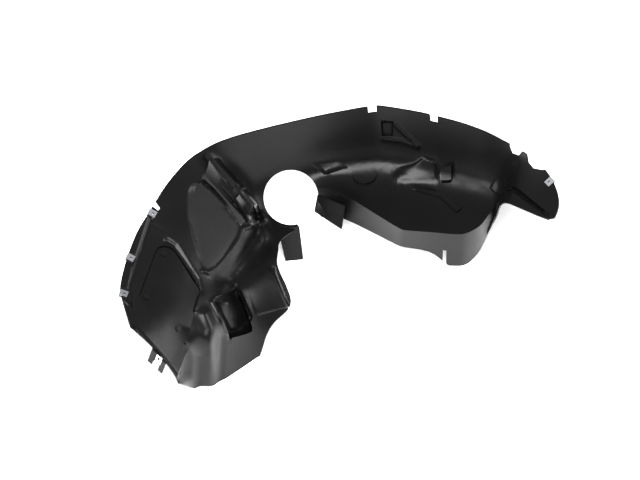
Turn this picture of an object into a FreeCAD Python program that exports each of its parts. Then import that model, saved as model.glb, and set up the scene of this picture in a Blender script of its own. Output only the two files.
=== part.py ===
import FreeCAD, Part
import math
import os

V = FreeCAD.Vector

# The moulding is drawn lip upwards: X runs from the front end to the rear, Y to the top of the arch and
# Z from the engine side out to the lip. All sizes are in millimetres, all angles in degrees.
wall = 3.0
lip_height = 250.0

# Table of offsets, one row for each section of the moulding from the front end round to the rear.
# Each row has the lip's x and y, the heading of the section, and pairs of reach inwards and height:
# four over the panel or band, one at the crest and one at the foot.
FRONT_SECTIONS = [
    (-438, 0, -48, [(30, 232), (60, 207), (85, 180), (98, 163), (106, 150), (112, 134)]),
    (-437, 45, -23, [(40, 239), (75, 221), (100, 201), (116, 184), (129, 165), (124, -5)]),
    (-435, 82, -33.5, [(45, 241), (90, 222), (128, 197), (155, 175), (176, 150), (188, -25)]),
    (-431, 100, -36.5, [(47, 241), (95, 222), (136, 197), (166, 175), (193, 152), (205, -25)]),
    (-405, 150, -42, [(50, 240), (105, 220), (150, 195), (178, 177), (203, 152), (238, -25)]),
    (-372, 200, -43, [(50, 238), (100, 217), (150, 186), (185, 168), (222, 145), (278, -25)]),
    (-350, 228, -42, [(52, 237), (102, 214), (146, 184), (172, 165), (212, 140), (276, 45)]),
    (-321, 255, -42, [(55, 236), (105, 211), (135, 190), (153, 174), (180, 148), (284, 55)]),
    (-273, 309, -48, [(58, 231), (110, 203), (142, 182), (162, 168), (182, 135), (308, 56)]),
    (-215, 353, -57, [(50, 230), (95, 204), (130, 180), (150, 166), (164, 115), (238, 88)]),
    (-188, 365, -60, [(26, 240), (90, 205), (132, 177), (148, 165), (158, 112), (216, 88)]),
    (-155, 375, -63, [(16, 226), (66, 172), (108, 128), (122, 110), (136, 94), (194, 86)]),
    (-110, 381, -74, [(10, 205), (22, 160), (42, 120), (66, 96), (95, 80), (165, 84)]),
    (-20, 381, -90, [(5, 205), (10, 160), (20, 118), (45, 90), (75, 70), (135, 74)]),
]
REAR_SECTIONS = [
    (60, 379, -90, [(6, 200), (12, 150), (26, 112), (40, 98), (54, 105), (100, 60)]),
    (110, 376, -90, [(8, 190), (16, 140), (32, 108), (66, 98), (126, 109), (138, 45)]),
    (184, 370, -93, [(13, 185), (26, 135), (46, 105), (108, 100), (214, 115), (207, 46)]),
    (196, 366, -95, [(14, 185), (28, 135), (48, 105), (110, 100), (215, 115), (208, 46)]),
    (262, 330, -97, [(13, 187), (27, 137), (47, 107), (108, 101), (203, 115), (200, 46)]),
    (285, 315, -98, [(13, 188), (26, 138), (46, 107), (105, 102), (199, 115), (197, -2)]),
    (335, 280, -107, [(12, 193), (25, 146), (45, 112), (98, 106), (179, 115), (176, -6)]),
    (346, 271, -108, [(12, 196), (25, 152), (44, 116), (92, 108), (174, 116), (170, -6)]),
    (375, 246, -109, [(11, 200), (22, 158), (40, 122), (78, 113), (142, 118), (132, 18)]),
    (390, 229, -113, [(10, 204), (20, 164), (36, 130), (62, 116), (102, 119), (98, 50)]),
    (412, 202, -125, [(9, 208), (18, 172), (30, 142), (42, 124), (60, 120), (68, 84)]),
    (440, 172, -142, [(15, 240), (30, 228), (42, 218), (50, 211), (59, 205), (91, 190)]),
    (466, 125, -151, [(15, 243), (32, 234), (46, 227), (56, 222), (66, 218), (89, 207)]),
    (475, 68, -166, [(12, 246), (26, 241), (38, 236), (46, 232), (53, 229), (71, 221)]),
    (466, 22, -180, [(7, 248), (14, 246), (20, 244), (25, 242), (30, 240), (43, 235)]),
    (446, 2, -200, [(2, 249), (4, 248), (6, 247), (8, 246), (10, 245), (14, 243)]),
]
crest_column = 5
along_degree = 3
panel_degree = 2

# Strut hole, and the gap that opens from it to the lower edge.
strut_centre = V(-5, 322, 76)
strut_radius = 55.0
strut_axis = V(-0.17, -0.55, 0.82)
gap_outline = [(-11, 330), (-11, 130), (110, 130), (70, 238), (29, 283), (29, 330)]

# Access cover in the front panel, its recess and its rivets. Outlines are in plan.
cover_corners = [(-309, 209), (-403, 67), (-341, -42), (-266, 85)]
cover_corner_radius = 24.0
cover_thickness = 2.5
cover_clearance = 0.8
recess_depth = 7.0
recess_ledge = 22.0
seat_gap = 0.2
rivet_places = [(-318, 164), (-383, 70), (-336, 4)]
rivet_head_radius = 6.0
rivet_head_height = 1.8
rivet_shank_radius = 3.0
rivet_length = 9.0
rivet_clearance = 0.2

# Flat scoop beside the cross rib: its outline in plan, a point on it and the way it faces.
scoop_corners = [(-246, 262), (-184, 336), (-120, 240), (-136, 206), (-236, 128), (-252, 165)]
scoop_corner_radius = 16.0
scoop_point = V(-240, 267, 241)
scoop_normal = V(0.488, -0.333, 0.807)
scoop_reach = 24.0

# Cross rib in two lengths: the ridge line, and each end's corners as offsets across and up from it.
rib_across = V(0.808, 0.589, 0)
rib_upper = [
    (V(-177, 351, 252), [(0, 0), (12, -1), (30, -36), (-8, -42)]),
    (V(-135, 291, 207), [(0, 0), (12, -1), (40, -50), (-18, -24)]),
]
rib_lower = [
    (V(-137, 294, 207), [(8, -3), (17, -5), (40, -52), (-6, -24)]),
    (V(-106, 258, 176), [(0, 0), (9, -2), (26, -48), (-14, -16)]),
]
rib_core_drop = 26.0

# Fastener pocket in the front bulge, and the forms on the floor of the rear panel.
pocket_corners = [(-244, 71), (-185, 98), (-170, 44), (-227, 18)]
pocket_corner_radius = 7.0
pocket_depth = 16.0
shelf_corners = [(186, 284), (222, 298), (262, 293), (286, 276), (279, 254), (234, 268)]
shelf_corner_radius = 8.0
shelf_rise = 9.0
stop_corners = [(292, 262), (311, 255), (305, 237), (287, 244)]
stop_corner_radius = 3.0
stop_rise = 10.0
boss_corners = [(123, 336), (171, 336), (171, 290), (123, 290)]
boss_corner_radius = 22.0
boss_rise = 5.0
floor_rib_path = [(228, 256), (279, 218), (300, 168)]
floor_rib_width = 13.0
floor_rib_rise = 4.0
slit_corners = [(389, 143), (402, 128), (437, 30), (432, 28), (392, 128)]
slit_corner_radius = 1.0
slit_depth = 7.0

# Line along the front lip's flange and bead along the front end.
flange_path = [(-312, 258), (-374, 164), (-407, 108), (-424, 44)]
flange_line_width = 3.0
flange_line_depth = 1.2
bead_path = [(-432, 4), (-399, -38), (-362, -70)]
bead_width = 5.0
bead_rise = 1.6

# Notches in the lip: outlines in plan, with the height from which they are cut.
NOTCHES = [
    (232, [(169, 400), (174, 340), (187, 340), (191, 400)]),
    (232, [(282, 350), (286, 300), (297, 300), (304, 350)]),
    (200, [(415, 199), (418, 187), (427, 175), (434, 176), (442, 172), (470, 200), (440, 220)]),
    (200, [(443, 172), (440, 150), (445, 134), (457, 123), (476, 113), (520, 130), (480, 190)]),
    (200, [(-330, 290), (-303, 256), (-297, 261), (-310, 300)]),
]
skirt_slot = [(252, 100), (252, 150), (259, 150), (259, 100)]
skirt_slot_top = 54.0

# Hanging tabs at the strut hole and the fastener tab of the front end: the corners of each plate.
front_tab = [V(-54, 254, 82), V(-11, 245, 80), V(-11, 219, 0), V(-46, 227, 0)]
front_tab_hole = V(-20, 240, 50)
front_tab_hole_radius = 3.0
rear_tab = [V(44, 300, 94), V(88, 256, 96), V(79, 241, 44), V(33, 287, 58)]
end_tab_middle = V(-396, -53.5, 200)
end_tab_along = V(0.563, -0.528, -0.634)
end_tab_out = V(-0.554, -0.83, 0.069)
end_tab_length = 26.0
end_tab_root = 8.0
end_tab_width = 40.0
end_tab_notch = 18.0
end_tab_notch_from = 15.0

# Spring nuts pushed over the lip: where they sit, and their own sizes.
clip_places = [(-321, 255), (-395, 165), (-433, 85), (473, 92)]
clip_length = 15.0
clip_width = 15.0
clip_sheet = 1.2
clip_grip = 0.8
clip_hole_inset = 8.0
clip_hole_radius = 2.7
clip_barrel_radius = 4.4
clip_barrel_length = 3.5
screw_clearance_radius = 3.4

# Length of the cutting tools, more than the moulding is high.
tall = 400.0
outline_tolerance = 0.2


def heading_vector(heading):
    return V(math.cos(math.radians(heading)), math.sin(math.radians(heading)), 0)


def section_points(section):
    lip_x, lip_y, heading, offsets = section
    inward = heading_vector(heading)
    points = [V(lip_x, lip_y, lip_height)]
    points += [V(lip_x, lip_y, height) + inward * reach for reach, height in offsets]
    return points


def grid_normal(grid, row, column):
    last_row = len(grid) - 1
    last_column = len(grid[0]) - 1
    along = grid[min(row + 1, last_row)][column] - grid[max(row - 1, 0)][column]
    across = grid[row][min(column + 1, last_column)] - grid[row][max(column - 1, 0)]
    return across.cross(along).normalize()


def lowered(grid, depth):
    return [[point - grid_normal(grid, i, j) * depth for j, point in enumerate(row)]
            for i, row in enumerate(grid)]


def clamped_knots(count, degree):
    spans = count - degree
    knots = [float(k) for k in range(spans + 1)]
    mults = [degree + 1] + [1] * (spans - 1) + [degree + 1]
    return knots, mults


def surface_over(grid, across_degree):
    u_knots, u_mults = clamped_knots(len(grid), along_degree)
    v_knots, v_mults = clamped_knots(len(grid[0]), across_degree)
    surface = Part.BSplineSurface()
    surface.buildFromPolesMultsKnots(grid, u_mults, v_mults, u_knots, v_knots, False, False,
                                     along_degree, across_degree)
    return surface


def edge_strip(upper, lower, degree):
    """Narrow face that closes the sheet between two rows of poles."""
    knots, mults = clamped_knots(len(upper), degree)
    surface = Part.BSplineSurface()
    poles = [list(pair) for pair in zip(upper, lower)]
    surface.buildFromPolesMultsKnots(poles, mults, [2, 2], knots, [0.0, 1.0], False, False, degree, 1)
    return surface.toShape()


def panel_over(grid):
    return surface_over([row[:crest_column + 1] for row in grid], panel_degree)


def fall_over(grid):
    return surface_over([row[crest_column:] for row in grid], 1)


def moulded_sheet(upper_grid, lower_grid):
    faces = []
    for side in (upper_grid, lower_grid):
        faces += [panel_over(side).toShape(), fall_over(side).toShape()]
    for end in (0, -1):
        upper, lower = upper_grid[end], lower_grid[end]
        faces.append(edge_strip(upper[:crest_column + 1], lower[:crest_column + 1], panel_degree))
        faces.append(edge_strip(upper[crest_column:], lower[crest_column:], 1))
        upper_edge = [row[end] for row in upper_grid]
        lower_edge = [row[end] for row in lower_grid]
        faces.append(edge_strip(upper_edge, lower_edge, along_degree))
    shell = Part.makeShell(faces)
    shell.sewShape(0.01)
    solid = Part.makeSolid(shell.Shells[0])
    if solid.Volume < 0:
        solid.reverse()
    return solid


def layer(above, below):
    return moulded_sheet(lowered(grid, -above), lowered(grid, below))


def outline_of(corners):
    points = [V(x, y, -tall / 2) for x, y in corners]
    return Part.makePolygon(points + points[:1])


def rounded_outline(corners, radius):
    points = [V(x, y, -tall / 2) for x, y in corners]
    count = len(points)
    edges = []
    joints = []
    for i, corner in enumerate(points):
        back = (points[i - 1] - corner).normalize()
        ahead = (points[(i + 1) % count] - corner).normalize()
        half = back.getAngle(ahead) / 2
        run = radius / math.tan(half)
        middle = corner + (back + ahead).normalize() * (radius / math.sin(half) - radius)
        joints.append((corner + back * run, middle, corner + ahead * run))
    for i, (start, middle, end) in enumerate(joints):
        edges.append(Part.Arc(start, middle, end).toShape())
        edges.append(Part.LineSegment(end, joints[(i + 1) % count][0]).toShape())
    return Part.Wire(edges)


def strip_outline(path, width):
    points = [V(x, y, 0) for x, y in path]
    left = []
    right = []
    for i, point in enumerate(points):
        along = points[min(i + 1, len(points) - 1)] - points[max(i - 1, 0)]
        side = V(-along.y, along.x, 0).normalize() * (width / 2)
        left.append((point.x + side.x, point.y + side.y))
        right.append((point.x - side.x, point.y - side.y))
    return outline_of(left + right[::-1])


def prism(outline, grow=0.0):
    wire = outline.makeOffset2D(grow) if grow else outline
    return Part.Face(wire).extrude(V(0, 0, 2 * tall))


def block_over(corners, bottom, top):
    points = [V(x, y, bottom) for x, y in corners]
    return Part.Face(Part.makePolygon(points + points[:1])).extrude(V(0, 0, top - bottom))


def plate(corners, thickness):
    normal = (corners[1] - corners[0]).cross(corners[3] - corners[0]).normalize()
    flat = [c - normal * (c - corners[0]).dot(normal) for c in corners]
    return Part.Face(Part.makePolygon(flat + flat[:1])).extrude(normal * thickness)


def slab(point, normal, depth):
    """Wide block with one face through a point, reaching along the normal."""
    side = normal.cross(V(0, 1, 0)).normalize()
    place = local_frame(point, side, V(normal).normalize())
    block = Part.makeBox(2 * tall, 2 * tall, depth, V(-tall, -tall, 0))
    block.Placement = place
    return block


def sunk(solid, outline, depth):
    pan = prism(outline, wall).common(layer(0, depth + wall))
    return solid.fuse(pan).cut(prism(outline).common(layer(depth, depth)))


def raised(solid, outline, rise):
    shell = prism(outline).common(layer(rise, wall))
    hollow = prism(outline, -wall).common(layer(rise - wall, 2 * wall))
    return solid.fuse(shell).cut(hollow)


def flattened(solid, outline, point, normal, reach):
    """Dishes the sheet to a plane inside an outline and keeps it where it already lies lower."""
    pan = prism(outline, wall).common(layer(0, reach))
    above = prism(outline).common(slab(point, normal, tall))
    underside = slab(point - V(normal).normalize() * wall, normal * -1, tall / 4)
    spare = prism(outline, 2 * wall).common(underside).common(layer(-wall, reach + wall))
    return solid.fuse(pan).cut(above).cut(spare)


def rib_corners(origin, offsets):
    return [origin + rib_across * across + V(0, 0, up) for across, up in offsets]


def rib_core(offsets):
    inset = [(wall, -wall), (-wall, -wall), (-wall, -rib_core_drop), (wall, -rib_core_drop)]
    return [(across + a, up + b) for (across, up), (a, b) in zip(offsets, inset)]


def rib_block(ends):
    wires = []
    for origin, offsets in ends:
        corners = rib_corners(origin, offsets)
        wires.append(Part.makePolygon(corners + corners[:1]))
    return Part.makeLoft(wires, True, True)


def seat_on_panel(x, y):
    upright = Part.LineSegment(V(x, y, lip_height / 2), V(x, y, tall)).toShape()
    point = upright.distToShape(panel.toShape())[1][0][1]
    normal = panel.normal(*panel.parameter(point))
    return point, normal if normal.z > 0 else normal * -1


def local_frame(origin, along, normal):
    across = normal.cross(along).normalize()
    turn = FreeCAD.Matrix(along.x, across.x, normal.x, origin.x,
                          along.y, across.y, normal.y, origin.y,
                          along.z, across.z, normal.z, origin.z,
                          0, 0, 0, 1)
    return FreeCAD.Placement(turn)


def lip_frame(x, y):
    lip = panel.bounds()[2]
    u = panel.vIso(lip).parameter(V(x, y, lip_height))
    inward = panel.tangent(u, lip)[1].normalize()
    normal = panel.normal(u, lip)
    return local_frame(panel.value(u, lip), inward, normal if normal.z > 0 else normal * -1)


def spring_nut():
    low = -wall - clip_grip - clip_sheet
    high = clip_grip + clip_sheet
    back = clip_sheet + clip_grip
    nut = Part.makeBox(clip_length + back, clip_width, high - low, V(-back, -clip_width / 2, low))
    slot = Part.makeBox(2 * clip_length, 2 * clip_width, wall + 2 * clip_grip,
                        V(-clip_grip, -clip_width, -wall - clip_grip))
    barrel_top = V(clip_hole_inset, 0, low)
    barrel = Part.makeCylinder(clip_barrel_radius, clip_barrel_length, barrel_top, V(0, 0, -1))
    hole = Part.makeCylinder(clip_hole_radius, tall, V(clip_hole_inset, 0, -tall / 2))
    return nut.cut(slot).fuse(barrel).cut(hole)


def rivet():
    head = Part.makeCylinder(rivet_head_radius, rivet_head_height)
    shank = Part.makeCylinder(rivet_shank_radius, rivet_length, V(0, 0, 0), V(0, 0, -1))
    return head.fuse(shank).removeSplitter()


def end_tab():
    """Two-eared plate on the front end, with its face up."""
    normal = end_tab_out.cross(end_tab_along).normalize()
    half = end_tab_along * (end_tab_width / 2)
    root = end_tab_middle - end_tab_out * end_tab_root
    tip = end_tab_middle + end_tab_out * end_tab_length
    notch_half = end_tab_along * (end_tab_notch / 2)
    notch_root = end_tab_middle + end_tab_out * end_tab_notch_from
    notch_tip = tip + end_tab_out
    ears = Part.makePolygon([root - half, root + half, tip + half, tip - half, root - half])
    notch = Part.makePolygon([notch_root - notch_half, notch_root + notch_half, notch_tip + notch_half,
                              notch_tip - notch_half, notch_root - notch_half])
    down = normal * -wall
    tab = Part.Face(ears).extrude(down).cut(Part.Face(notch).extrude(down))
    return tab, local_frame(notch_root, end_tab_out * -1, normal)


grid = [section_points(section) for section in FRONT_SECTIONS + REAR_SECTIONS]
panel = panel_over(grid)
cover_outline = rounded_outline(cover_corners, cover_corner_radius)


body = layer(0, wall)
strut_way = V(strut_axis).normalize() * tall
body = body.cut(Part.makeCylinder(strut_radius, tall, strut_centre - strut_way / 2, strut_way))
body = body.cut(block_over(gap_outline, 0, tall / 2))
scoop_outline = rounded_outline(scoop_corners, scoop_corner_radius)
body = flattened(body, scoop_outline, scoop_point, scoop_normal, scoop_reach)
for ends in (rib_upper, rib_lower):
    body = body.fuse(rib_block(ends))
for ends in (rib_upper, rib_lower):
    body = body.cut(rib_block([(origin, rib_core(offsets)) for origin, offsets in ends]))
body = sunk(body, rounded_outline(pocket_corners, pocket_corner_radius), pocket_depth)
body = sunk(body, cover_outline, recess_depth)
body = body.cut(prism(cover_outline, -recess_ledge))
body = raised(body, rounded_outline(shelf_corners, shelf_corner_radius), shelf_rise)
body = raised(body, rounded_outline(stop_corners, stop_corner_radius), stop_rise)
body = raised(body, rounded_outline(boss_corners, boss_corner_radius), boss_rise)
body = raised(body, strip_outline(floor_rib_path, floor_rib_width), floor_rib_rise)
body = sunk(body, rounded_outline(slit_corners, slit_corner_radius), slit_depth)
body = body.cut(prism(strip_outline(flange_path, flange_line_width)).common(layer(wall, flange_line_depth)))
body = body.fuse(prism(strip_outline(bead_path, bead_width)).common(layer(bead_rise, wall / 2)))
for height, corners in NOTCHES:
    body = body.cut(block_over(corners, height, tall))
body = body.cut(block_over(skirt_slot, -tall / 2, skirt_slot_top))
tab, end_tab_frame = end_tab()
for piece in (plate(front_tab, wall), plate(rear_tab, wall), tab):
    body = body.fuse(piece)
body = body.cut(Part.makeCylinder(front_tab_hole_radius, 8 * wall, front_tab_hole, V(0, 1, -0.3)))
body = body.cut(Part.makeBox(3 * tall, 3 * tall, tall, V(-1.5 * tall, -1.5 * tall, -tall)))

cover_top = recess_depth - seat_gap - cover_thickness
cover = prism(cover_outline, -cover_clearance).common(layer(-cover_top, recess_depth - seat_gap))
rivets = []
for x, y in rivet_places:
    point, normal = seat_on_panel(x, y)
    seat = point - normal * (cover_top - seat_gap)
    along = normal.cross(V(0, 1, 0)).normalize()
    shaft_radius = rivet_shank_radius + rivet_clearance
    shaft = Part.makeCylinder(shaft_radius, 6 * wall, seat + normal * wall, normal * -1)
    cover = cover.cut(shaft)
    body = body.cut(shaft)
    pin = rivet()
    pin.Placement = local_frame(seat, along, normal)
    rivets.append(pin)
clips = []
for place in [lip_frame(x, y) for x, y in clip_places] + [end_tab_frame]:
    nut = spring_nut()
    nut.Placement = place
    clips.append(nut)
    hole = Part.makeCylinder(screw_clearance_radius, 4 * wall, V(clip_hole_inset, 0, -3 * wall))
    hole.Placement = place
    body = body.cut(hole)

parts = {
    "shield_body": body,
    "access_cover": cover,
    "cover_rivets": Part.makeCompound(rivets),
    "lip_clips": Part.makeCompound(clips),
}
# The origin is on the ground under the middle of the part.
points, _ = Part.makeCompound(list(parts.values())).tessellate(outline_tolerance)
box = FreeCAD.BoundBox()
for point in points:
    box.add(point)
to_origin = V(-box.Center.x, -box.Center.y, -box.ZMin)
os.makedirs("parts", exist_ok=True)
for name, shape in parts.items():
    shape.translated(to_origin).exportStep("parts/" + name + ".step")
    print(name, "valid:", shape.isValid(), "solids:", len(shape.Solids), "volume:", round(shape.Volume))
print("moved by", to_origin)
for nut in clips:
    centre = nut.Placement.multVec(V(clip_hole_inset, 0, 0)) + to_origin
    print("nut at", centre, "facing", nut.Placement.Rotation.multVec(V(0, 0, 1)))
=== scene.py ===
"""Looks of a moulded wheel-arch splash shield, built as an add-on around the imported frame."""

import math
from collections import namedtuple

import bmesh
import bpy
from bpy.props import FloatProperty, FloatVectorProperty, PointerProperty
from mathutils import Matrix, Vector
from mathutils.bvhtree import BVHTree


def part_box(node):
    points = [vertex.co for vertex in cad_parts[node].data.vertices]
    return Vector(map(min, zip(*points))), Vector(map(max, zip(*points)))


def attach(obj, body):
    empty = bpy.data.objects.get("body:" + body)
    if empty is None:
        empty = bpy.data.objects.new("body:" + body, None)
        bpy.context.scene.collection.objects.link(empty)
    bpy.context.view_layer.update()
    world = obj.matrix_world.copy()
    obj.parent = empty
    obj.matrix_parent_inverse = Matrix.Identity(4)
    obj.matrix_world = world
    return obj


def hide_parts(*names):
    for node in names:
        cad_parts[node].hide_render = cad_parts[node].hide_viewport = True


bl_info = {
    "name": "Splash shield looks",
    "version": (1, 0, 0),
    "blender": (4, 5, 0),
    "location": "View3D > Sidebar > Splash shield",
    "description": "Finishes, fine forms and studio of a moulded wheel-arch splash shield",
    "category": "Object",
}

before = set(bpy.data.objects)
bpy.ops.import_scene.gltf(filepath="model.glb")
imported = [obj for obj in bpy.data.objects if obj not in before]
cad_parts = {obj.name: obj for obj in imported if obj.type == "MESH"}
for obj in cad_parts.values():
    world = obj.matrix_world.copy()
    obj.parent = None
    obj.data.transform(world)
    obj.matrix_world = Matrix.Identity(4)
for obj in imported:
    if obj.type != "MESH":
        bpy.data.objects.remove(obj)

BODY = "root"
MILLIMETRE = 0.001

# The picture is taken as a long-lens view, turned a little towards the front end and raised above the floor.
VIEW_TURN = math.radians(17.3)
VIEW_RAISE = math.radians(55.0)
UPRIGHT = Vector((0.0, 0.0, 1.0))
LEVEL_TO_CAMERA = Vector((-math.sin(VIEW_TURN), -math.cos(VIEW_TURN), 0.0))
TO_CAMERA = LEVEL_TO_CAMERA * math.cos(VIEW_RAISE) + UPRIGHT * math.sin(VIEW_RAISE)
PICTURE_UP = UPRIGHT * math.cos(VIEW_RAISE) - LEVEL_TO_CAMERA * math.sin(VIEW_RAISE)
PICTURE_RIGHT = PICTURE_UP.cross(TO_CAMERA)

# The point at the picture's middle, that middle in pixels, the metres that a pixel spans, and how far behind
# the point it spans them.
PICTURE_CENTRE = Vector((-0.0551, -0.1264, 0.3487))
PICTURE_MIDDLE = Vector((320.0, 240.0))
PIXEL_SIZE = 0.002
TRUE_SCALE_DEPTH = 0.239

# The moulding's fine relief, laid out as it is seen from the camera. Places are pixels of the picture and
# rises are millimetres towards the camera. A stroke is a soft ridge or groove along a line. A facet is a
# patch whose rise is given at three places, and it meets its surroundings over a sloping wall. It follows
# the wall below it, or, where it is flat, lies in the plane through the three raised places.
Stroke = namedtuple("Stroke", "line radius rise")
Facet = namedtuple("Facet", "outline rises wall flat", defaults=[False])

# Scoop of the front panel, and the moulding between it and the strut hole.
SCOOP_OUTLINE = [
    (204, 179), (215, 189), (227, 203), (235, 216), (242, 224), (243, 232), (227, 258), (217, 269),
    (209, 274), (204, 272), (200, 263), (194, 241), (188, 219), (185, 205), (186, 193), (192, 184),
]
SCOOP = Facet(SCOOP_OUTLINE, [(189, 205, -1), (207, 268, 1), (238, 228, -3)], 2.5, flat=True)
SCOOP_RIM = Stroke([(243, 229), (240, 238), (227, 258), (217, 269), (209, 273), (204, 271)], 2.2, 4.0)
SCOOP_SIDE_HOLLOW = Stroke([(262, 246), (245, 265), (230, 280)], 12.0, -22.0)
STRUT_COLLAR = Stroke([(262, 216), (272, 240), (278, 266)], 5.0, 6.0)
RIB_END_LEDGE = Stroke([(246, 228), (265, 221)], 2.0, 5.0)
RIB_END_HOLLOW = Facet(
    [(256, 201), (264, 218), (249, 224)],
    [(256, 203, -9), (262, 217, -9), (251, 222, -9)],
    1.5,
)

# Bulge at the front end, with its pocket, the ramp beside that and the edge of the cover's recess.
BULGE_RIDGE = Stroke([(206, 314), (212, 328), (211, 345), (208, 384)], 5.5, 8.0)
BULGE_HOLLOW = Stroke([(221, 338), (219, 384)], 4.5, -5.0)
POCKET = Facet(
    [(214, 301), (237, 287), (241, 289), (253, 316), (252, 321), (236, 331), (229, 331)],
    [(220, 303, -17), (240, 292, -14), (236, 326, -14)],
    3.0,
)
POCKET_LEFT_RIM = Stroke([(213, 302), (228, 332)], 1.8, 5.0)
POCKET_TOP_RIM = Stroke([(214, 299), (236, 286)], 1.8, 4.0)
RAMP = Facet(
    [(244, 284), (270, 266), (290, 308), (256, 316)],
    [(246, 285, 0), (268, 268, 5), (270, 308, 5)],
    2.0,
)
RAMP_GROOVE = Stroke([(273, 268), (289, 308)], 1.2, -3.0)
COVER_RECESS_EDGE = Stroke([(167, 241), (175, 246), (197, 279), (200, 291)], 2.6, -5.0)

# Lip along the front end.
LIP_STRIP_WALL = 1.6
LIP_STRIPS = [
    Facet(
        [(145, 213), (150, 216), (137, 257), (131, 254)],
        [(145, 214, 4), (150, 216, 2), (133, 254, 4)],
        LIP_STRIP_WALL,
    ),
    Facet(
        [(126, 266), (134, 264), (129, 290), (121, 290)],
        [(126, 267, 4), (133, 266, 2), (122, 289, 4)],
        LIP_STRIP_WALL,
    ),
    Facet(
        [(122, 299), (129, 297), (133, 306), (129, 306)],
        [(123, 299, 4), (129, 299, 3), (130, 305, 4)],
        LIP_STRIP_WALL,
    ),
]
LIP_GROOVE = Stroke([(152, 219), (140, 256), (132, 283), (133, 310)], 1.8, -3.0)
LOWER_LIP_BEAD = Stroke([(137, 327), (157, 349), (179, 374)], 1.6, 3.0)

# Wedge-shaped seat in the arch band.
BAND_SEAT = Facet(
    [(381, 120), (394, 121), (393, 136), (382, 136)],
    [(382, 121, -8), (393, 122, -8), (384, 135, -8)],
    1.5,
)
BAND_UPPER_EDGE = Stroke([(396, 125), (418, 146)], 1.8, 3.5)
BAND_LOWER_EDGE = Stroke([(384, 139), (402, 141), (418, 147)], 2.0, 3.0)

# Roll over the rear panel, and the lobe at the rear end.
ROLL_FACET = Facet(
    [(308, 162), (340, 159), (349, 167), (325, 175)],
    [(309, 162, 0), (340, 160, 0), (330, 174, 7)],
    4.0,
)
LOBE_FACET = Facet(
    [(489, 188), (497, 177), (505, 181), (503, 200)],
    [(490, 188, 6), (498, 179, 0), (503, 198, 2)],
    1.5,
)
LOBE_SLIT = Stroke([(508, 184), (527, 200), (546, 214)], 2.2, -7.0)
FLOOR_END_STRIP = Facet(
    [(499, 204), (505, 205), (493, 236), (487, 234)],
    [(500, 205, 6), (504, 206, 3), (490, 234, 5)],
    1.0,
)

# What is rounded over before the relief is laid on it: an outline, and how many passes smooth it.
SHOULDER_OUTLINE = [(188, 318), (205, 300), (232, 303), (232, 338), (222, 352), (196, 356), (184, 342)]
SHELF_OUTLINE = [(382, 168), (397, 155), (440, 155), (440, 190), (382, 190)]
SOFTENED = [(SHOULDER_OUTLINE, 60), (SCOOP_OUTLINE, 40), (RAMP.outline, 20), (SHELF_OUTLINE, 25)]

FACETS = [
    SCOOP, RIB_END_HOLLOW, POCKET, RAMP, *LIP_STRIPS, BAND_SEAT, ROLL_FACET, LOBE_FACET, FLOOR_END_STRIP,
]
STROKES = [
    SCOOP_RIM, SCOOP_SIDE_HOLLOW, STRUT_COLLAR, RIB_END_LEDGE, BULGE_RIDGE, BULGE_HOLLOW, POCKET_LEFT_RIM,
    POCKET_TOP_RIM, RAMP_GROOVE, COVER_RECESS_EDGE, LIP_GROOVE, LOWER_LIP_BEAD, BAND_UPPER_EDGE,
    BAND_LOWER_EDGE, LOBE_SLIT,
]

# The cross rib's two lengths: at each station the left foot, the ridge, the right edge and the right foot.
# Rises and the depth of the feet are millimetres, and the rounding of the edges is metres.
RIB_UPPER = [
    [(204, 176), (209, 159), (216, 157), (221, 158)],
    [(216, 190), (222, 177), (229, 173), (233, 173)],
    [(229, 204), (236, 196), (242, 189), (246, 187)],
]
RIB_LOWER = [
    [(230, 204), (236, 197), (242, 190), (247, 188)],
    [(240, 213), (245, 206), (251, 199), (254, 197)],
    [(247, 221), (250, 215), (256, 206), (259, 204)],
]
RIB_UPPER_RISE = 6.0
RIB_LOWER_RISE = 3.0
RIB_FOOT_DEPTH = 3.0
RIB_ROUNDING = 0.0022
RIB_ROUNDING_SEGMENTS = 3
ROUND_PROFILE = 0.5

# How the skin is cut up for the relief. Edges and distances are metres, cells and margins are pixels, reaches
# are counted in radii of a stroke, and the share is how far one pass of softening moves a corner.
REFINE_PASSES = 6
FINEST_EDGE = 0.003
FACET_EDGE = 2 * FINEST_EDGE
EDGE_PER_RADIUS = 0.0017
CELL = 6
PIXEL_MARGIN = 1.0
REFINE_REACH = 2.2
STROKE_REACH = 2.5
MERGE_DISTANCE = 0.00002
CUT_DISTANCE = 0.000001
SOFTEN_SHARE = 0.5
MOST_FACES = 150000

# Plastic: its refraction, the depth of its grain, and a slow drift that makes the gloss uneven.
PLASTIC_REFRACTION = 1.49
GRAIN_DETAIL = 2.0
GRAIN_DEPTH = 0.0004
DRIFT_SCALE = 14.0
DRIFT_DETAIL = 3.0
DRIFT_LOW = 0.3
DRIFT_HIGH = 0.7
SMOOTHER_BY = 0.04
ROUGHER_BY = 0.05

# Studio: square lamps, which all face one point, a matt floor and an even sky. The sensor is in millimetres.
Lamp = namedtuple("Lamp", "name place size")
KEY_LAMP = Lamp("key", Vector((-0.6, -0.9, 3.0)), 2.2)
SIDE_LAMP = Lamp("side", Vector((-2.8, -0.6, 1.4)), 1.6)
RIGHT_LAMP = Lamp("right", Vector((2.8, -0.3, 1.0)), 1.5)
LAMPS_FACE = Vector((0.0, 0.0, 0.1))
FLOOR_ROUGHNESS = 0.9
SKY_COLOUR = (1.0, 1.0, 1.0)
SENSOR_WIDTH = 36.0


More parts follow.
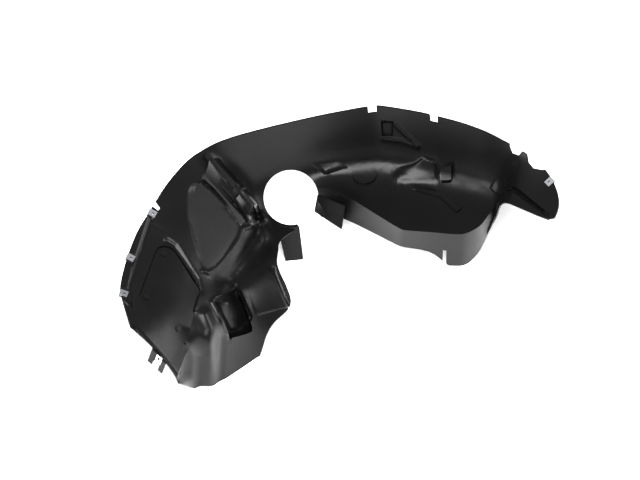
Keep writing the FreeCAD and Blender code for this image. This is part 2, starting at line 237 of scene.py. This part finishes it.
class ShieldFinish(bpy.types.PropertyGroup):
    """Finish of the moulded plastic and of the zinc-plated nuts."""

    plastic_colour: FloatVectorProperty(
        name="Plastic colour",
        description="Colour of the moulding, the cover and the rivets",
        subtype="COLOR",
        default=(0.004, 0.004, 0.0043),
        min=0.0,
        max=1.0,
    )
    plastic_roughness: FloatProperty(
        name="Plastic roughness",
        description="Mean roughness of the moulding",
        subtype="FACTOR",
        default=0.32,
        min=0.0,
        max=1.0,
    )
    cover_roughness: FloatProperty(
        name="Cover roughness",
        description="Mean roughness of the access cover",
        subtype="FACTOR",
        default=0.30,
        min=0.0,
        max=1.0,
    )
    rivet_roughness: FloatProperty(
        name="Rivet roughness",
        description="Mean roughness of the rivets and their pins",
        subtype="FACTOR",
        default=0.38,
        min=0.0,
        max=1.0,
    )
    plastic_shine: FloatProperty(
        name="Plastic shine",
        description="How much light the plastic mirrors",
        subtype="FACTOR",
        default=0.18,
        min=0.0,
        max=1.0,
    )
    grain_scale: FloatProperty(
        name="Grain per metre",
        description="How fine the grain of the plastic is",
        default=900.0,
        min=1.0,
    )
    grain_strength: FloatProperty(
        name="Grain strength",
        description="How strongly the grain of the plastic shows",
        subtype="FACTOR",
        default=0.12,
        min=0.0,
        max=1.0,
    )
    zinc_colour: FloatVectorProperty(
        name="Zinc colour",
        description="Colour of the spring nuts",
        subtype="COLOR",
        default=(0.42, 0.43, 0.45),
        min=0.0,
        max=1.0,
    )
    zinc_roughness: FloatProperty(
        name="Zinc roughness",
        description="Roughness of the spring nuts",
        subtype="FACTOR",
        default=0.32,
        min=0.0,
        max=1.0,
    )
    pin_radius: FloatProperty(
        name="Rivet pin radius",
        description="Radius of the pin in the middle of each rivet",
        subtype="DISTANCE",
        default=0.0024,
        min=0.0,
    )
    pin_height: FloatProperty(
        name="Rivet pin height",
        description="Length of each pin, half of which is sunk in the rivet's head",
        subtype="DISTANCE",
        default=0.0016,
        min=0.0,
    )
    crease_angle: FloatProperty(
        name="Crease angle",
        description="Faces that meet at more than this angle keep a sharp edge between them",
        subtype="ANGLE",
        default=math.radians(28.0),
        min=0.0,
        max=math.pi,
    )


class ShieldStudio(bpy.types.PropertyGroup):
    """Floor, lights and camera."""

    camera_distance: FloatProperty(
        name="Camera distance",
        description="How far the camera stands from the picture's centre",
        subtype="DISTANCE",
        default=40.0,
        min=1.0,
    )
    floor_width: FloatProperty(
        name="Floor width",
        description="Side of the square floor",
        subtype="DISTANCE",
        default=14.0,
        min=1.0,
    )
    floor_colour: FloatVectorProperty(
        name="Floor colour",
        description="Colour of the matt floor",
        subtype="COLOR",
        default=(0.93, 0.93, 0.93),
        min=0.0,
        max=1.0,
    )
    key_power: FloatProperty(
        name="Key power",
        description="Power of the lamp above the shield",
        unit="POWER",
        default=270.0,
        min=0.0,
    )
    side_power: FloatProperty(
        name="Side power",
        description="Power of the lamp on the side of the front end",
        unit="POWER",
        default=70.0,
        min=0.0,
    )
    right_power: FloatProperty(
        name="Right power",
        description="Power of the lamp on the side of the rear end",
        unit="POWER",
        default=60.0,
        min=0.0,
    )
    sky_strength: FloatProperty(
        name="Sky strength",
        description="Brightness of the even sky",
        default=0.48,
        min=0.0,
    )


def pixel_of(point):
    """Where a point is seen in the picture."""
    offset = point - PICTURE_CENTRE
    across = offset.dot(PICTURE_RIGHT) / PIXEL_SIZE
    down = -offset.dot(PICTURE_UP) / PIXEL_SIZE
    return PICTURE_MIDDLE + Vector((across, down))


def point_of(pixel):
    """The point of the picture plane at a pixel."""
    offset = Vector(pixel) - PICTURE_MIDDLE
    return PICTURE_CENTRE + (PICTURE_RIGHT * offset.x - PICTURE_UP * offset.y) * PIXEL_SIZE


def closed(outline):
    """The line that runs once round an outline."""
    return outline + outline[:1]


def sides_of(line):
    """The pairs of neighbours along a line."""
    return zip(line, line[1:])


def line_distance(pixel, line):
    """How far a pixel is from a line of joined points."""
    nearest = math.inf
    for start, end in sides_of(line):
        first = Vector(start)
        along = Vector(end) - first
        share = max(0.0, min(1.0, (pixel - first).dot(along) / along.length_squared))
        nearest = min(nearest, (pixel - first - along * share).length)
    return nearest


def inside(pixel, outline):
    """Whether a pixel is within a closed outline."""
    within = False
    for (x1, y1), (x2, y2) in sides_of(closed(outline)):
        if (y1 > pixel.y) != (y2 > pixel.y) and pixel.x < x1 + (x2 - x1) * (pixel.y - y1) / (y2 - y1):
            within = not within
    return within


def pixel_box(places, margin):
    """Lowest and highest pixel of some places, widened by a margin."""
    xs = [place[0] for place in places]
    ys = [place[1] for place in places]
    return min(xs) - margin, min(ys) - margin, max(xs) + margin, max(ys) + margin


def within_box(pixel, box):
    """Whether a pixel is within a box of pixels."""
    left, top, right, bottom = box
    return left < pixel.x < right and top < pixel.y < bottom


def cell_of(pixel):
    """The cell of the picture that holds a pixel."""
    return int(pixel.x // CELL), int(pixel.y // CELL)


def placed(name, data):
    """A new object in the scene."""
    item = bpy.data.objects.new(name, data)
    bpy.context.scene.collection.objects.link(item)
    return item


def shaped_mesh(carrier, name):
    """The plain mesh that a carrier's modifier gives. The carrier is removed."""
    shaped = carrier.evaluated_get(bpy.context.evaluated_depsgraph_get())
    mesh = bpy.data.meshes.new_from_object(shaped)
    mesh.name = name
    bpy.data.objects.remove(carrier)
    return mesh


def surface_of(mesh):
    """The faces of a mesh, for finding what a ray meets or what is nearest."""
    places = [vert.co for vert in mesh.vertices]
    return BVHTree.FromPolygons(places, [list(face.vertices) for face in mesh.polygons])


def seat(surface, pixel, rise):
    """The point of the skin that is seen at a pixel, moved towards the camera."""
    hit = surface.ray_cast(point_of(pixel) + TO_CAMERA, -TO_CAMERA)[0]
    if hit is None:
        raise ValueError("nothing is seen at pixel " + str(pixel))
    return hit + TO_CAMERA * (rise * MILLIMETRE)


def depth_seen(surface, pixel):
    """How far the surface that is seen at a pixel stands towards the camera, in millimetres."""
    return (seat(surface, pixel, 0.0) - PICTURE_CENTRE).dot(TO_CAMERA) / MILLIMETRE


def edge_limits():
    """The edge length that the relief needs in each cell of the picture that it touches."""
    areas = [(pixel_box(facet.outline, facet.wall + PIXEL_MARGIN), FACET_EDGE) for facet in FACETS]
    areas += [(pixel_box(outline, PIXEL_MARGIN), FACET_EDGE) for outline, _ in SOFTENED]
    for stroke in STROKES:
        edge_limit = max(FINEST_EDGE, stroke.radius * EDGE_PER_RADIUS)
        areas.append((pixel_box(stroke.line, REFINE_REACH * stroke.radius), edge_limit))
    limits = {}
    for (left, top, right, bottom), limit in areas:
        for column in range(int(left // CELL), int(right // CELL) + 1):
            for row in range(int(top // CELL), int(bottom // CELL) + 1):
                limits[column, row] = min(limit, limits.get((column, row), limit))
    return limits


def make_triangles(mesh):
    """Splits the faces that have more than three corners."""
    bmesh.ops.triangulate(mesh, faces=[face for face in mesh.faces if len(face.verts) > 3])


def refine(mesh, limits):
    """Splits long edges where the relief needs a finer mesh."""
    for _ in range(REFINE_PASSES):
        long_edges = []
        for edge in mesh.edges:
            length = edge.calc_length()
            if length > FINEST_EDGE:
                middle = pixel_of((edge.verts[0].co + edge.verts[1].co) / 2)
                if length > limits.get(cell_of(middle), math.inf):
                    long_edges.append(edge)
        if not long_edges:
            break
        bmesh.ops.subdivide_edges(mesh, edges=long_edges, cuts=1)
        make_triangles(mesh)


def soften(mesh, outline, passes):
    """Rounds over the forms within an outline of the picture."""
    box = pixel_box(outline, 0.0)
    verts = []
    for vert in mesh.verts:
        pixel = pixel_of(vert.co)
        if within_box(pixel, box) and inside(pixel, outline):
            verts.append(vert)
    axes = {"use_axis_x": True, "use_axis_y": True, "use_axis_z": True}
    for _ in range(passes):
        bmesh.ops.smooth_vert(mesh, verts=verts, factor=SOFTEN_SHARE, **axes)


def cut_along(mesh, facet):
    """Cuts the mesh along the sides of a facet, as seen from the camera."""
    box = pixel_box(facet.outline, facet.wall)
    faces = [face for face in mesh.faces if within_box(pixel_of(face.calc_center_median()), box)]
    edges = dict.fromkeys(edge for face in faces for edge in face.edges)
    verts = dict.fromkeys(vert for face in faces for vert in face.verts)
    region = [*faces, *edges, *verts]
    for start, end in sides_of(closed(facet.outline)):
        corner = point_of(start)
        normal = (point_of(end) - corner).cross(TO_CAMERA).normalized()
        cut = bmesh.ops.bisect_plane(mesh, geom=region, dist=CUT_DISTANCE, plane_co=corner, plane_no=normal)
        region = cut["geom"]
    make_triangles(mesh)


def plane_rise(rises):
    """The flat slope through three rises, as a constant and a change for each pixel across and down."""
    places = Matrix([(1.0, across, down) for across, down, _ in rises])
    return places.inverted() @ Vector([rise for _, _, rise in rises])


def facet_slope(facet, surface):
    """The slope of a facet's rise or, where it is flat, of how far it stands towards the camera."""
    if not facet.flat:
        return plane_rise(facet.rises)
    raised = []
    for across, down, rise in facet.rises:
        raised.append((across, down, depth_seen(surface, (across, down)) + rise))
    return plane_rise(raised)


def facet_rise(facet, slope, surface, pixel):
    """How far a facet lifts the skin at a pixel within it."""
    height = slope[0] + slope[1] * pixel.x + slope[2] * pixel.y
    if facet.flat:
        height -= depth_seen(surface, pixel)
    return height * min(1.0, line_distance(pixel, closed(facet.outline)) / facet.wall)


def stroke_rise(stroke, pixel):
    """How far a stroke lifts the skin at a pixel near it."""
    distance = line_distance(pixel, stroke.line) / stroke.radius
    return stroke.rise * math.exp(-distance * distance)


def emboss(mesh, lowest, highest):
    """Moves the mesh by the facets and strokes, within the part's own box."""
    surface = BVHTree.FromBMesh(mesh)
    facets = []
    for facet in FACETS:
        facets.append((facet, facet_slope(facet, surface), pixel_box(facet.outline, PIXEL_MARGIN)))
    strokes = [(stroke, pixel_box(stroke.line, STROKE_REACH * stroke.radius)) for stroke in STROKES]
    for vert in mesh.verts:
        pixel = pixel_of(vert.co)
        rise = 0.0
        for facet, slope, box in facets:
            if within_box(pixel, box) and inside(pixel, facet.outline):
                rise += facet_rise(facet, slope, surface, pixel)
        for stroke, box in strokes:
            if within_box(pixel, box):
                rise += stroke_rise(stroke, pixel)
        if rise:
            moved = vert.co + TO_CAMERA * (rise * MILLIMETRE)
            vert.co = [max(low, min(high, value)) for low, value, high in zip(lowest, moved, highest)]


def shader_of(name):
    """A new node material and its main shader."""
    material = bpy.data.materials.new(name)
    material.use_nodes = True
    return material, material.node_tree.nodes["Principled BSDF"]


def plastic_material(name, finish, roughness):
    """Black moulded plastic with a fine grain and a faint uneven gloss."""
    material, shader = shader_of(name)
    tree = material.node_tree
    shader.inputs["Base Color"].default_value = (*finish.plastic_colour, 1.0)
    shader.inputs["IOR"].default_value = PLASTIC_REFRACTION
    shader.inputs["Specular IOR Level"].default_value = finish.plastic_shine
    place = tree.nodes.new("ShaderNodeTexCoord")
    grain = tree.nodes.new("ShaderNodeTexNoise")
    grain.inputs["Scale"].default_value = finish.grain_scale
    grain.inputs["Detail"].default_value = GRAIN_DETAIL
    bump = tree.nodes.new("ShaderNodeBump")
    bump.inputs["Strength"].default_value = finish.grain_strength
    bump.inputs["Distance"].default_value = GRAIN_DEPTH
    drift = tree.nodes.new("ShaderNodeTexNoise")
    drift.inputs["Scale"].default_value = DRIFT_SCALE
    drift.inputs["Detail"].default_value = DRIFT_DETAIL
    gloss = tree.nodes.new("ShaderNodeMapRange")
    gloss.inputs["From Min"].default_value = DRIFT_LOW
    gloss.inputs["From Max"].default_value = DRIFT_HIGH
    gloss.inputs["To Min"].default_value = roughness - SMOOTHER_BY
    gloss.inputs["To Max"].default_value = roughness + ROUGHER_BY
    link = tree.links.new
    link(place.outputs["Object"], grain.inputs["Vector"])
    link(place.outputs["Object"], drift.inputs["Vector"])
    link(grain.outputs["Fac"], bump.inputs["Height"])
    link(bump.outputs["Normal"], shader.inputs["Normal"])
    link(drift.outputs["Fac"], gloss.inputs["Value"])
    link(gloss.outputs["Result"], shader.inputs["Roughness"])
    return material


def zinc_material(name, finish):
    """Bright zinc plate."""
    material, shader = shader_of(name)
    shader.inputs["Base Color"].default_value = (*finish.zinc_colour, 1.0)
    shader.inputs["Metallic"].default_value = 1.0
    shader.inputs["Roughness"].default_value = finish.zinc_roughness
    return material


def thinned(mesh):
    """The mesh, collapsed to about MOST_FACES faces. The mesh with as many faces as a
    piece may have.
    """
    carrier = placed("carrier", mesh)
    collapse = carrier.modifiers.new("collapse", "DECIMATE")
    collapse.ratio = MOST_FACES / len(mesh.polygons)
    return shaped_mesh(carrier, mesh.name)


def smoothed_copy(node_name, material, crease_angle, with_relief=False):
    """A merged and smooth-shaded stand-in for a node, in the same place."""
    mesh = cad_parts[node_name].data.copy()
    mesh.name = node_name + "_skin"
    if "custom_normal" in mesh.attributes:
        mesh.attributes.remove(mesh.attributes["custom_normal"])
    merged = bmesh.new()
    merged.from_mesh(mesh)
    bmesh.ops.remove_doubles(merged, verts=merged.verts, dist=MERGE_DISTANCE)
    if with_relief:
        refine(merged, edge_limits())
        for outline, passes in SOFTENED:
            soften(merged, outline, passes)
        for facet in FACETS:
            cut_along(merged, facet)
        emboss(merged, *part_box(node_name))
    merged.to_mesh(mesh)
    merged.free()
    if len(mesh.polygons) > MOST_FACES:
        mesh = thinned(mesh)
    mesh.shade_smooth()
    mesh.set_sharp_from_angle(angle=crease_angle)
    mesh.materials.clear()
    mesh.materials.append(material)
    piece = placed(node_name + "_skin", mesh)
    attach(piece, BODY)
    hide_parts(node_name)
    return piece


def bar_faces(station_count, corner_count):
    """The faces of a closed bar through stations that have the same count of corners."""
    faces = []
    for station in range(station_count - 1):
        low = station * corner_count
        high = low + corner_count
        for corner in range(corner_count):
            after = (corner + 1) % corner_count
            faces.append((low + corner, low + after, high + after, high + corner))
    last = (station_count - 1) * corner_count
    faces.append(tuple(reversed(range(corner_count))))
    faces.append(tuple(range(last, last + corner_count)))
    return faces


def rib_length(name, stations, rise, surface, material):
    """One length of the cross rib, a rounded bar whose feet are sunk in the skin."""
    corner_rises = (-RIB_FOOT_DEPTH, rise, rise, -RIB_FOOT_DEPTH)
    corners = []
    for station in stations:
        corners += [seat(surface, pixel, corner_rise) for pixel, corner_rise in zip(station, corner_rises)]
    mesh = bpy.data.meshes.new(name)
    mesh.from_pydata(corners, [], bar_faces(len(stations), len(corner_rises)))
    rounded = bmesh.new()
    rounded.from_mesh(mesh)
    bmesh.ops.bevel(
        rounded,
        geom=rounded.edges[:],
        offset=RIB_ROUNDING,
        segments=RIB_ROUNDING_SEGMENTS,
        profile=ROUND_PROFILE,
        affect="EDGES",
    )
    bmesh.ops.recalc_face_normals(rounded, faces=rounded.faces)
    rounded.to_mesh(mesh)
    rounded.free()
    mesh.shade_smooth()
    mesh.materials.append(material)
    piece = placed(name, mesh)
    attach(piece, BODY)


def loose_parts(mesh):
    """The corners of a mesh, in one list for each loose part."""
    waiting = dict.fromkeys(mesh.verts)
    parts = []
    while waiting:
        part = [waiting.popitem()[0]]
        for vert in part:
            for edge in vert.link_edges:
                other = edge.other_vert(vert)
                if other in waiting:
                    del waiting[other]
                    part.append(other)
        parts.append(part)
    return parts


def rivet_heads(rivets, cover):
    """The middle of each rivet's head and the way that it faces."""
    surface = surface_of(cover.data)
    solids = bmesh.new()
    solids.from_mesh(rivets.data)
    heads = []
    for part in loose_parts(solids):
        middle = sum((vert.co for vert in part), Vector()) / len(part)
        facing = surface.find_nearest(middle)[1]
        if facing.dot(TO_CAMERA) < 0:
            facing = -facing
        top = max((vert.co - middle).dot(facing) for vert in part)
        heads.append((middle + facing * top, facing))
    solids.free()
    return heads


def pin_tree(material):
    """Geometry nodes that set a round pin on each point, turned the way that the point faces."""
    tree = bpy.data.node_groups.new("rivet pins", "GeometryNodeTree")
    tree.interface.new_socket("Geometry", in_out="INPUT", socket_type="NodeSocketGeometry")
    radius = tree.interface.new_socket("Pin radius", in_out="INPUT", socket_type="NodeSocketFloat")
    height = tree.interface.new_socket("Pin height", in_out="INPUT", socket_type="NodeSocketFloat")
    tree.interface.new_socket("Geometry", in_out="OUTPUT", socket_type="NodeSocketGeometry")
    given = tree.nodes.new("NodeGroupInput")
    result = tree.nodes.new("NodeGroupOutput")
    pin = tree.nodes.new("GeometryNodeMeshCylinder")
    facing = tree.nodes.new("GeometryNodeInputNamedAttribute")
    facing.data_type = "FLOAT_VECTOR"
    facing.inputs["Name"].default_value = "facing"
    turn = tree.nodes.new("FunctionNodeAlignRotationToVector")
    turn.axis = "Z"
    place = tree.nodes.new("GeometryNodeInstanceOnPoints")
    realize = tree.nodes.new("GeometryNodeRealizeInstances")
    paint = tree.nodes.new("GeometryNodeSetMaterial")
    paint.inputs["Material"].default_value = material
    link = tree.links.new
    link(given.outputs["Pin radius"], pin.inputs["Radius"])
    link(given.outputs["Pin height"], pin.inputs["Depth"])
    link(facing.outputs["Attribute"], turn.inputs["Vector"])
    link(given.outputs["Geometry"], place.inputs["Points"])
    link(pin.outputs["Mesh"], place.inputs["Instance"])
    link(turn.outputs["Rotation"], place.inputs["Rotation"])
    link(place.outputs["Instances"], realize.inputs["Geometry"])
    link(realize.outputs["Geometry"], paint.inputs["Geometry"])
    link(paint.outputs["Geometry"], result.inputs["Geometry"])
    return tree, radius.identifier, height.identifier


def rivet_pins(heads, finish, material):
    """The centre pins of the rivets, half sunk in their heads."""
    points = bpy.data.meshes.new("rivet_points")
    points.from_pydata([place for place, _ in heads], [], [])
    facing = points.attributes.new("facing", "FLOAT_VECTOR", "POINT")
    for number, (_, way) in enumerate(heads):
        facing.data[number].vector = way
    carrier = placed("rivet_points", points)
    tree, radius, height = pin_tree(material)
    repeat = carrier.modifiers.new("pins", "NODES")
    repeat.node_group = tree
    repeat[radius] = finish.pin_radius
    repeat[height] = finish.pin_height
    piece = placed("rivet_pins", shaped_mesh(carrier, "rivet_pins"))
    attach(piece, BODY)


class SPLASH_OT_moulding(bpy.types.Operator):
    """Skins the moulded shield and sets the two lengths of its cross rib"""

    bl_idname = "splash.moulding"
    bl_label = "Moulding"

    def execute(self, context):
        finish = context.scene.shield_finish
        plastic = plastic_material("moulded plastic", finish, finish.plastic_roughness)
        skin = smoothed_copy("shield_body", plastic, finish.crease_angle, with_relief=True)
        surface = surface_of(skin.data)
        rib_length("cross_rib_upper", RIB_UPPER, RIB_UPPER_RISE, surface, plastic)
        rib_length("cross_rib_lower", RIB_LOWER, RIB_LOWER_RISE, surface, plastic)
        return {"FINISHED"}


class SPLASH_OT_cover(bpy.types.Operator):
    """Skins the access cover and its rivets, and sets a pin in each rivet"""

    bl_idname = "splash.cover"
    bl_label = "Access cover"

    def execute(self, context):
        finish = context.scene.shield_finish
        cover_plastic = plastic_material("cover plastic", finish, finish.cover_roughness)
        rivet_plastic = plastic_material("rivet plastic", finish, finish.rivet_roughness)
        cover = smoothed_copy("access_cover", cover_plastic, finish.crease_angle)
        rivets = smoothed_copy("cover_rivets", rivet_plastic, finish.crease_angle)
        rivet_pins(rivet_heads(rivets, cover), finish, rivet_plastic)
        return {"FINISHED"}


class SPLASH_OT_clips(bpy.types.Operator):
    """Skins the spring nuts on the lip"""

    bl_idname = "splash.clips"
    bl_label = "Spring nuts"

    def execute(self, context):
        finish = context.scene.shield_finish
        zinc = zinc_material("zinc plate", finish)
        smoothed_copy("lip_clips", zinc, finish.crease_angle)
        return {"FINISHED"}


def lay_floor(studio):
    """A square floor under the shield."""
    half = studio.floor_width / 2
    mesh = bpy.data.meshes.new("floor")
    corners = [(-half, -half, 0), (half, -half, 0), (half, half, 0), (-half, half, 0)]
    mesh.from_pydata(corners, [], [(0, 1, 2, 3)])
    material, shader = shader_of("pale floor")
    shader.inputs["Base Color"].default_value = (*studio.floor_colour, 1.0)
    shader.inputs["Roughness"].default_value = FLOOR_ROUGHNESS
    mesh.materials.append(material)
    floor = placed("floor", mesh)


def set_sky(scene, studio):
    """An even sky, and how the picture's tones are shown."""
    world = bpy.data.worlds.new("soft sky")
    world.use_nodes = True
    sky = world.node_tree.nodes["Background"]
    sky.inputs["Color"].default_value = (*SKY_COLOUR, 1.0)
    sky.inputs["Strength"].default_value = studio.sky_strength
    scene.world = world
    scene.view_settings.view_transform = "Standard"
    scene.view_settings.look = "Medium High Contrast"


def area_light(lamp, power):
    """A square soft light that faces the shield."""
    light_data = bpy.data.lights.new(lamp.name, "AREA")
    light_data.shape = "SQUARE"
    light_data.size = lamp.size
    light_data.energy = power
    light = placed(lamp.name, light_data)
    light.location = lamp.place
    light.rotation_euler = (LAMPS_FACE - lamp.place).to_track_quat("-Z", "Y").to_euler()


def set_camera(scene, studio):
    """The long-lens camera that takes the picture."""
    camera_data = bpy.data.cameras.new("photo view")
    distance = studio.camera_distance
    picture_width = 2 * PICTURE_MIDDLE.x * PIXEL_SIZE
    camera_data.sensor_width = SENSOR_WIDTH
    camera_data.lens = SENSOR_WIDTH * (distance + TRUE_SCALE_DEPTH) / picture_width
    camera_data.dof.use_dof = False
    camera = placed("photo view", camera_data)
    camera.location = PICTURE_CENTRE + TO_CAMERA * distance
    camera.rotation_euler = (-TO_CAMERA).to_track_quat("-Z", "Y").to_euler()
    scene.camera = camera


class SPLASH_OT_studio(bpy.types.Operator):
    """Sets the pale floor, the even sky, the soft lights and the camera"""

    bl_idname = "splash.studio"
    bl_label = "Studio"

    def execute(self, context):
        studio = context.scene.shield_studio
        lay_floor(studio)
        set_sky(context.scene, studio)
        area_light(KEY_LAMP, studio.key_power)
        area_light(SIDE_LAMP, studio.side_power)
        area_light(RIGHT_LAMP, studio.right_power)
        set_camera(context.scene, studio)
        return {"FINISHED"}


class SPLASH_PT_panel(bpy.types.Panel):
    """Sidebar with the finish, the studio and the steps"""

    bl_idname = "SPLASH_PT_panel"
    bl_label = "Splash shield"
    bl_space_type = "VIEW_3D"
    bl_region_type = "UI"
    bl_category = "Splash shield"

    def draw(self, context):
        layout = self.layout
        for group in (context.scene.shield_finish, context.scene.shield_studio):
            for name in group.__annotations__:
                layout.prop(group, name)
        for operator in STEPS:
            layout.operator(operator.bl_idname)


STEPS = (SPLASH_OT_moulding, SPLASH_OT_cover, SPLASH_OT_clips, SPLASH_OT_studio)
CLASSES = (ShieldFinish, ShieldStudio, *STEPS, SPLASH_PT_panel)


def register():
    """Adds the classes, and the finish and studio of a scene."""
    for addon_class in CLASSES:
        bpy.utils.register_class(addon_class)
    bpy.types.Scene.shield_finish = PointerProperty(type=ShieldFinish)
    bpy.types.Scene.shield_studio = PointerProperty(type=ShieldStudio)


def unregister():
    """Takes away what register adds."""
    del bpy.types.Scene.shield_studio
    del bpy.types.Scene.shield_finish
    for addon_class in reversed(CLASSES):
        bpy.utils.unregister_class(addon_class)


def main():
    """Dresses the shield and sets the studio."""
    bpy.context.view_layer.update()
    register()
    bpy.ops.splash.moulding()
    bpy.ops.splash.cover()
    bpy.ops.splash.clips()
    bpy.ops.splash.studio()


if __name__ == "__main__":
    main()
